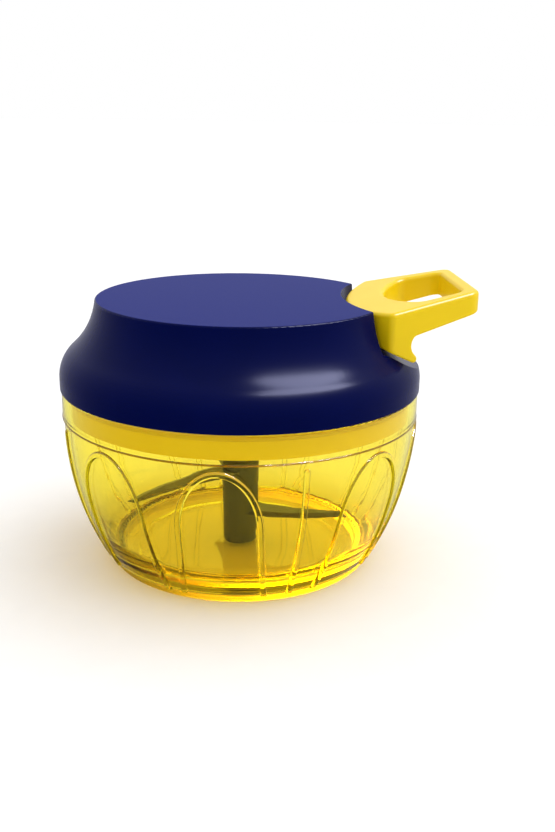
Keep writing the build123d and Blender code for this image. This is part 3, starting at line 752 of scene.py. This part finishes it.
@dataclass
class CordTube:
    """A round cord along a smooth line, with a map that its braid follows.

    Attributes:
        name: Name of the piece.
        route_mm: Points that guide the line.
        radius_mm: Radius of the cord.
        sides: Sides of the tube.
    """

    MAP_NAME = "braid"
    # Length of cord in which the braid goes once round
    BRAID_MM = 12.0
    # Order of the smooth line, and its points for each guiding point
    LINE_ORDER = 3
    LINE_STEPS = 6

    name: str
    route_mm: list[Point]
    radius_mm: float
    sides: int = 16

    def line(self) -> list[Vector]:
        """Read the points of the smooth line that the route guides.

        Returns:
            Points along the line, in metres.
        """
        curve = bpy.data.curves.new(self.name, "CURVE")
        curve.dimensions = "3D"
        curve.resolution_u = self.LINE_STEPS
        spline = curve.splines.new("NURBS")
        spline.points.add(len(self.route_mm) - 1)
        for point, place in zip(spline.points, self.route_mm):
            point.co = (*(Vector(place) * MM), 1.0)
        spline.order_u = self.LINE_ORDER
        spline.use_endpoint_u = True
        holder = bpy.data.objects.new(self.name, curve)
        mesh = bpy.data.meshes.new_from_object(holder)
        points = [vertex.co.copy() for vertex in mesh.vertices]
        bpy.data.objects.remove(holder)
        bpy.data.curves.remove(curve)
        bpy.data.meshes.remove(mesh)
        return points

    def build(self) -> bpy.types.Object:
        """Sweep the cord's circle along its line.

        Returns:
            The piece, at the origin, in the scene.
        """
        points = self.line()
        past_end = 2 * points[-1] - points[-2]
        shape = bmesh.new()
        braid = shape.loops.layers.uv.new(self.MAP_NAME)
        heading = (points[1] - points[0]).normalized()
        turn = Vector((0, 0, 1)).rotation_difference(heading).to_matrix().to_4x4()
        bmesh.ops.create_circle(
            shape,
            segments=self.sides,
            radius=self.radius_mm * MM,
            cap_ends=True,
            matrix=Matrix.Translation(points[0]) @ turn,
        )
        ring = list(shape.edges)
        near = {corner: (step, 0.0) for step, corner in enumerate(shape.verts)}
        length = 0.0
        for before, here, after in zip(points, points[1:], [*points[2:], past_end]):
            made = bmesh.ops.extrude_edge_only(shape, edges=ring)["geom"]
            corners = [item for item in made if isinstance(item, bmesh.types.BMVert)]
            faces = [item for item in made if isinstance(item, bmesh.types.BMFace)]
            edges = [item for item in made if isinstance(item, bmesh.types.BMEdge)]
            ring = [edge for edge in edges if edge.is_boundary]
            next_heading = (after - before).normalized()
            swing = heading.rotation_difference(next_heading).to_matrix()
            bmesh.ops.rotate(shape, cent=before, matrix=swing, verts=corners)
            bmesh.ops.translate(shape, vec=here - before, verts=corners)
            length += (here - before).length
            far = self.drawn_on(corners, near, length)
            self.map_band(faces, braid, near | far)
            near = far
            heading = next_heading
        bmesh.ops.contextual_create(shape, geom=ring)
        bmesh.ops.recalc_face_normals(shape, faces=shape.faces)
        return piece_from(shape, self.name)

    def drawn_on(
        self,
        corners: list[bmesh.types.BMVert],
        near: dict[bmesh.types.BMVert, tuple[int, float]],
        length: float,
    ) -> dict[bmesh.types.BMVert, tuple[int, float]]:
        """Find the place on the cord of each corner of a new ring.

        The extrusion promises no order, so each corner is traced back to the one that it was
        drawn from.

        Args:
            corners: Corners of the new ring.
            near: Step round the cord and length along it of each corner of the ring before.
            length: Length of cord up to the new ring.

        Returns:
            Step round the cord and length along it of each new corner.
        """
        far = {}
        for corner in corners:
            for edge in corner.link_edges:
                source = edge.other_vert(corner)
                if source in near:
                    far[corner] = (near[source][0], length)
        return far

    def map_band(
        self,
        faces: list[bmesh.types.BMFace],
        braid: bmesh.types.BMLayerItem,
        places: dict[bmesh.types.BMVert, tuple[int, float]],
    ) -> None:
        """Lay one band of the tube out on the braid's map.

        Args:
            faces: Faces of the band.
            braid: The map's layer.
            places: Step round the cord and length along it of each corner of the band.
        """
        scale = per_metre(self.BRAID_MM)
        for face in faces:
            last_step = max(places[corner][0] for corner in face.verts)
            for loop in face.loops:
                step, length = places[loop.vert]
                # The face that closes the round ends a whole turn on
                if last_step - step > 1:
                    step += self.sides
                loop[braid].uv = (step / self.sides, length * scale)


@dataclass
class CollarBead:
    """The fine bead moulded round the lower edge of the bowl's collar.

    Attributes:
        ring_mm: Radius of the ring that the bead follows.
        height_mm: Height of the bead's middle.
        radius_mm: Radius of the bead's own section.
        sides: Sides of the section.
        steps: Steps round the ring.
    """

    ring_mm: float = 63.4
    height_mm: float = 54.3
    radius_mm: float = 0.36
    sides: int = 12
    steps: int = 288

    def build(self) -> None:
        """Spin the bead's section round the bowl's axis and hang it on the bowl."""
        shape = bmesh.new()
        upright = Matrix.Rotation(math.pi / 2, 4, "X")
        middle = Vector((self.ring_mm, 0.0, self.height_mm)) * MM
        bmesh.ops.create_circle(
            shape,
            segments=self.sides,
            radius=self.radius_mm * MM,
            matrix=Matrix.Translation(middle) @ upright,
        )
        bmesh.ops.spin(
            shape,
            geom=[*shape.verts, *shape.edges],
            steps=self.steps,
            use_merge=True,
            cent=(0.0, 0.0, 0.0),
            axis=(0.0, 0.0, 1.0),
            angle=math.tau,
        )
        bmesh.ops.recalc_face_normals(shape, faces=shape.faces)
        bead = piece_from(shape, "collar_bead")
        # The bead's deep dye is painted shade of the groove under the collar
        bead.data.materials.append(GROOVE_SHADE_YELLOW.material())
        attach(bead, Body.BOWL.value)
        log.info("built %s", bead.name)


@dataclass
class CordDrive:
    """The cord: two turns on the spool, and the lead to the handle with its stopper knot.

    Attributes:
        radius_mm: Radius of the cord.
        height_mm: Height at which the cord leaves the lid.
        wrap_mm: Radius of the turns.
        pitch_mm: Drop from one turn to the next.
        turns: Turns on the spool.
        steps: Points of the route for each turn.
        corner_mm: Where along X the lead turns from the drum towards the handle.
        lead_route_mm: Route of the lead from the drum round the eyelet to the knot.
        knot_start_mm: Where the knot starts along X.
        knot_length_mm: Length of the knot.
        knot_turns: Turns of the knot.
        taut_from_mm: Where the lead starts to pay out; not used.
        taut_to_mm: Where the lead is held by the handle; not used.
    """

    radius_mm: float = 1.2
    height_mm: float = 88.0
    wrap_mm: float = 26.0
    pitch_mm: float = 2.9
    turns: int = 2
    steps: int = 24
    corner_mm: float = 31.5
    lead_route_mm: list[Point] = field(default_factory=lambda: [
        (22.95, 12.43, 88.1),
        (25.2, 9.2, 88.1),
        (28.4, 4.5, 88.05),
        (30.4, 1.2, 88.0),
        (32.4, 0.1, 88.0),
        (34.5, 0.0, 88.0),
        (37.5, 0.0, 88.0),
        (40.4, 0.0, 88.0),
    ])
    knot_start_mm: float = 40.7
    knot_length_mm: float = 4.2
    knot_turns: int = 2
    taut_from_mm: float = 34.5
    taut_to_mm: float = 40.0

    def winding_route(self) -> list[Point]:
        """Find the points that guide the turns on the spool.

        Returns:
            Points in millimetres, a little outside the turns.
        """
        step = math.tau / self.steps
        leave_angle = math.acos(self.wrap_mm / self.corner_mm)
        # The smooth line cuts inside its guiding points, to this share of their reach
        share_reached = (3 + math.cos(step)) / 4
        reach = self.wrap_mm / share_reached
        route = []
        for place in range(self.turns * self.steps + 1):
            angle = leave_angle + place * step
            drop = self.pitch_mm * place / self.steps
            route.append((reach * math.cos(angle), reach * math.sin(angle), self.height_mm - drop))
        return route

    def knot_route(self) -> list[Point]:
        """Find the points that guide the stopper knot, wound close round the cord's own line.

        Returns:
            Points in millimetres.
        """
        # Half as many points for each turn as on the spool
        last = self.knot_turns * self.steps // 2
        route = []
        for place in range(last + 1):
            share = place / last
            angle = math.tau * self.knot_turns * share
            ahead = self.knot_start_mm + self.knot_length_mm * share
            across = self.radius_mm * math.cos(angle)
            up = self.radius_mm * math.sin(angle)
            route.append((ahead, across, self.height_mm + up))
        return route

    def build(self) -> None:
        """Make the turns, the lead and the knot, and hang the turns and the knot on their bodies.
        """
        winding = CordTube("wound_cord", self.winding_route(), self.radius_mm).build()
        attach(winding, Body.SPOOL.value)
        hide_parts("cord_winding")
        lead = CordTube("pull_cord_lead", self.lead_route_mm, self.radius_mm).build()
        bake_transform(lead)
        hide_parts("pull_cord")
        knot = CordTube("stopper_knot", self.knot_route(), self.radius_mm).build()
        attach(knot, Body.HANDLE.value)
        for piece, braid in ((winding, CORD_BRAID), (lead, LEAD_BRAID), (knot, CORD_BRAID)):
            piece.data.materials.append(braid.material())
            log.info("built %s", piece.name)


@dataclass
class PhotoCamera:
    """Camera at the photograph's viewpoint.

    Attributes:
        distance_mm: Distance from the axis of the bowl.
        height_mm: Height above the floor.
        yaw: Turn away from the axis, in radians.
        pitch: Tilt downwards, in radians.
        roll: Turn about the line of sight, in radians.
        object_turn: Turn of the object about Z in the photograph, in radians.
        focal_px: Focal length in pixels of the photograph.
        long_side_px: The photograph's longer side.
        sensor_mm: Sensor length that stands for the longer side.
        nearest: Distance from which things are seen, in metres.
        farthest: Distance up to which things are seen, in metres.
    """

    distance_mm: float = 352.987
    height_mm: float = 160.734
    yaw: float = 0.0383
    pitch: float = 0.302
    roll: float = 0.0147
    object_turn: float = math.radians(1.5)
    focal_px: float = 1009.34
    long_side_px: int = 832
    sensor_mm: float = 36.0
    nearest: float = 0.01
    farthest: float = 50.0

    def build(self) -> None:
        """Place the camera and make it the scene's camera."""
        data = bpy.data.cameras.new("photo_camera")
        data.sensor_width = self.sensor_mm
        data.lens = self.focal_px * self.sensor_mm / self.long_side_px
        data.clip_start = self.nearest
        data.clip_end = self.farthest
        flat = math.cos(self.pitch)
        drop = math.sin(self.pitch)
        ahead = Vector((flat * math.sin(self.yaw), flat * math.cos(self.yaw), -drop))
        level_right = Vector((math.cos(self.yaw), -math.sin(self.yaw), 0.0))
        level_up = level_right.cross(ahead)
        right = level_right * math.cos(self.roll) + level_up * math.sin(self.roll)
        up = right.cross(ahead)
        pose = Matrix((right, up, -ahead)).transposed().to_4x4()
        pose.translation = Vector((0.0, -self.distance_mm, self.height_mm)) * MM
        camera = bpy.data.objects.new("photo_camera", data)
        camera.matrix_world = Matrix.Rotation(-self.object_turn, 4, "Z") @ pose
        bpy.context.scene.collection.objects.link(camera)
        bpy.context.scene.camera = camera
        log.info("placed the camera")


@dataclass
class SoftLamp:
    """A long soft lamp that faces the object and only makes shine.

    Attributes:
        name: Name of the lamp.
        towards: Direction from the object to the lamp.
        along: Direction of its long side.
        distance: Distance from the aim, in metres.
        size: Length and width, in metres.
        power: Power in watts.
        colour: Colour of its light, a little cool.
        aim: Point that it faces.
    """

    name: str
    towards: Vector
    along: Vector
    distance: float
    size: tuple[float, float]
    power: float
    colour: str = "#DCDFFF"
    aim: Vector = field(default_factory=lambda: Vector((0.0, 0.0, 0.08)))

    def build(self) -> None:
        """Place the lamp in the scene."""
        data = bpy.data.lights.new(self.name, "AREA")
        data.shape = "ELLIPSE"
        data.size, data.size_y = self.size
        data.energy = self.power
        data.color = linear(self.colour)[:3]
        lamp = bpy.data.objects.new(self.name, data)
        away = self.towards.normalized()
        across = away.cross(self.along).normalized()
        pose = Matrix((across.cross(away), across, away)).transposed().to_4x4()
        pose.translation = self.aim + away * self.distance
        lamp.matrix_world = pose
        # It only shines on smooth faces: it lights nothing else and isn't seen itself
        lamp.visible_diffuse = False
        lamp.visible_camera = False
        bpy.context.scene.collection.objects.link(lamp)


@dataclass
class Studio:
    """Plain pale floor, soft light and a pale surround.

    Attributes:
        floor_radius: Radius of the floor, in metres.
        floor_sides: Sides of the floor's outline.
        floor_gap_mm: Gap between the floor and the foot.
        sun_strength: Strength of the soft main light.
        sun_azimuth: Its direction, in degrees from the camera's side towards +X.
        sun_elevation: Its height, in degrees.
        sun_spread: Its apparent size, in degrees.
        surround_seen: Brightness of the surround, seen directly.
        surround_through: Brightness that is added to it, seen through clear plastic.
        surround_from: Direction from which the surround is brightest.
        surround_end: Cosine of the angle from that direction at which it is darkest.
        surround_dim: Light that the surround gives from the darkest side.
        surround_bright: Light that the surround gives from the brightest side.
        lamps: The soft lamps.
        light_turns: Most turns that are followed along one line of sight.
    """

    floor_radius: float = 8.0
    floor_sides: int = 96
    floor_gap_mm: float = 0.1
    sun_strength: float = 0.95
    sun_azimuth: float = 88.0
    sun_elevation: float = 60.0
    sun_spread: float = 60.0
    surround_seen: float = 1.0
    surround_through: float = 0.5
    surround_from: Point = (0.2, 0.3, 0.93)
    surround_end: float = -0.6
    surround_dim: float = 0.05
    surround_bright: float = 1.32
    lamps: tuple[SoftLamp, ...] = (
        SoftLamp(
            "long_lamp",
            towards=Vector((0.46, -0.25, 0.85)),
            along=Vector((0.7, 0.63, -0.34)),
            distance=0.9,
            size=(0.78, 0.3),
            power=36.0,
        ),
    )
    light_turns: int = 32

    def build(self) -> None:
        """Make the floor, the lights and the surround."""
        self.build_floor()
        self.build_sun()
        for lamp in self.lamps:
            lamp.build()
        self.build_surround()
        scene = bpy.context.scene
        scene.view_settings.view_transform = "Standard"
        # Light that runs along inside a clear wall turns many times before it leaves
        scene.cycles.max_bounces = self.light_turns
        scene.cycles.transmission_bounces = self.light_turns
        scene.cycles.glossy_bounces = self.light_turns
        scene.cycles.transparent_max_bounces = self.light_turns
        log.info("built the studio")

    def build_floor(self) -> None:
        """Make a wide round floor of matt paper."""
        shape = bmesh.new()
        # A hair below the foot, so that light leaves the clear foot into air
        bmesh.ops.create_circle(
            shape,
            cap_ends=True,
            segments=self.floor_sides,
            radius=self.floor_radius,
            matrix=Matrix.Translation((0.0, 0.0, -self.floor_gap_mm * MM)),
        )
        floor = piece_from(shape, "studio_floor")
        floor.data.materials.append(MATT_PAPER.material())
        # The floor isn't mirrored in the lid, whose sides stay dark
        floor.visible_glossy = False

    def build_sun(self) -> None:
        """Make the soft main light."""
        data = bpy.data.lights.new("main_light", "SUN")
        data.energy = self.sun_strength
        data.angle = math.radians(self.sun_spread)
        sun = bpy.data.objects.new("main_light", data)
        turn = math.radians(self.sun_azimuth)
        rise = math.radians(self.sun_elevation)
        flat = math.cos(rise)
        away = Vector((math.sin(turn) * flat, -math.cos(turn) * flat, math.sin(rise)))
        sun.rotation_euler = away.to_track_quat("Z", "Y").to_euler()
        # It lights without a shine of its own
        sun.visible_glossy = False
        bpy.context.scene.collection.objects.link(sun)

    def build_surround(self) -> None:
        """Make the surround white to look at, and as a light brightest from above and behind."""
        world = bpy.data.worlds.new("studio_surround")
        world.use_nodes = True
        tree = world.node_tree
        tree.nodes.clear()
        white = linear("#FFFFFF")
        heading = add_node(tree, "ShaderNodeTexCoord").outputs["Generated"]
        facing_inputs = {0: heading, 1: self.surround_from}
        facing = add_node(tree, "ShaderNodeVectorMath", facing_inputs, operation="DOT_PRODUCT")
        glow = add_node(tree, "ShaderNodeMapRange", {
            "Value": facing.outputs["Value"],
            "From Min": self.surround_end,
            "To Min": self.surround_dim,
            "To Max": self.surround_bright,
        }).outputs["Result"]
        light = add_node(tree, "ShaderNodeBackground", {"Color": white, "Strength": glow})
        ray = add_node(tree, "ShaderNodeLightPath").outputs
        through = add_node(tree, "ShaderNodeMath", {
            0: ray["Is Transmission Ray"],
            1: self.surround_through,
            2: self.surround_seen,
        }, operation="MULTIPLY_ADD").outputs["Value"]
        seen = add_node(tree, "ShaderNodeBackground", {"Color": white, "Strength": through})
        looked_inputs = {0: ray["Is Camera Ray"], 1: ray["Is Transmission Ray"]}
        looked_at = add_node(tree, "ShaderNodeMath", looked_inputs, operation="MAXIMUM")
        mixed = add_node(tree, "ShaderNodeMixShader", {
            0: looked_at.outputs["Value"],
            1: light.outputs["Background"],
            2: seen.outputs["Background"],
        })
        add_node(tree, "ShaderNodeOutputWorld", {"Surface": mixed.outputs["Shader"]})
        bpy.context.scene.world = world


DRESSED = (
    DressedNodes(CLEAR_YELLOW, ("bowl",)),
    DressedNodes(SOFT_YELLOW, ("foot_ring",)),
    DressedNodes(NAVY, ("lid_cover",)),
    DressedNodes(GLOSS_YELLOW, ("pull_handle", "handle_plug")),
    DressedNodes(LEMON, ("lid_base",)),
    DressedNodes(WARM_RUBBER, ("lid_seal",)),
    DressedNodes(CHARCOAL, ("blade_hub",)),
    DressedNodes(LOWER_STEEL, ("lower_blade",)),
    DressedNodes(MIDDLE_STEEL, ("middle_blade",)),
    DressedNodes(UPPER_STEEL, ("upper_blade",)),
    DressedNodes(TURNED_STEEL, (
        "blade_pivot_pin",
        "lid_screws",
        "spool_axle",
        "cord_eyelet",
        "main_spring",
        "thrust_washer",
    )),
    DressedNodes(MILK_WHITE, ("drive_bush", "cord_spool", "spring_cover", "drive_shaft")),
)


def main() -> None:
    """Build the whole scene, sub-assembly by sub-assembly."""
    logging.basicConfig(level=logging.INFO, format="%(name)s: %(message)s")
    for dressed in DRESSED:
        dressed.dress()
    CollarBead().build()
    CordDrive().build()
    PhotoCamera().build()
    Studio().build()


if __name__ == "__main__":
    main()
